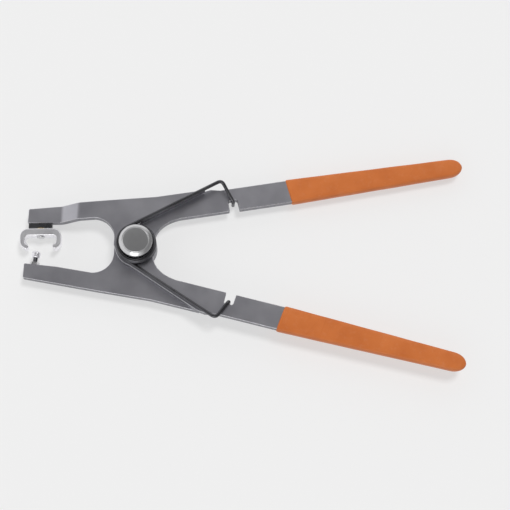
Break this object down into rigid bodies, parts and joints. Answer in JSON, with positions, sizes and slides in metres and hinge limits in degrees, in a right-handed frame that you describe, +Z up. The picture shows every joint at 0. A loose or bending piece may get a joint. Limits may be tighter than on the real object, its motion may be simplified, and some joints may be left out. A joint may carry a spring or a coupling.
{
  "type": "running pliers",
  "caption": "Long-handled running pliers for snapping scored glass: crossed flat levers, spread by a coil spring, with a two-footed swivel head facing a round anvil.",
  "frame": {"origin": "on the pivot axis, at the underside of the pivot nut that rests on the bench", "axes": "+X along the middle of the tool towards the handles, +Z up along the pivot axis towards the bolt head, +Y towards the jaw that carries the swivel head"},
  "size_m": [0.2907, 0.1458, 0.0288],
  "materials": {
    "plate_steel": "satin nickel-plated",
    "bright_steel": "polished",
    "spring_steel": "drawn",
    "brass_washer": "dull",
    "grip_vinyl": "soft semi-gloss dip"
  },
  "bodies": {
    "lower_lever": {"lower_jaw_lever": "plate_steel", "lower_jaw_grip": "grip_vinyl", "pivot_bolt": "bright_steel", "pivot_nut": "bright_steel", "lock_washer": "spring_steel", "nut_washer": "bright_steel", "thrust_washer": "brass_washer", "spool_washer": "brass_washer", "spring_spool": "bright_steel", "head_washer": "brass_washer", "anvil_stud": "spring_steel", "anvil_lock_nut": "bright_steel", "anvil_tip": "bright_steel"},
    "upper_lever": {"upper_jaw_lever": "plate_steel", "upper_jaw_grip": "grip_vinyl", "torsion_spring": "spring_steel", "swivel_seat": "spring_steel", "swivel_pin": "spring_steel", "swivel_washer": "brass_washer"},
    "head": {"swivel_head": "bright_steel"}
  },
  "joints": [
    {"name": "lever_pivot", "type": "hinge", "parent": "lower_lever", "child": "upper_lever", "pos_m": [0, 0, 0.0125], "axis": [0, 0, 1], "range_deg": [-12, 6.5], "stiffness_Nm_per_rad": 2, "deforming": ["torsion_spring"]},
    {"name": "head_swivel", "type": "hinge", "parent": "upper_lever", "child": "head", "pos_m": [-0.0636, 0.01414, 0.0075], "axis": [-0.0628, 0.998, 0], "range_deg": [-90, 90]}
  ]
}
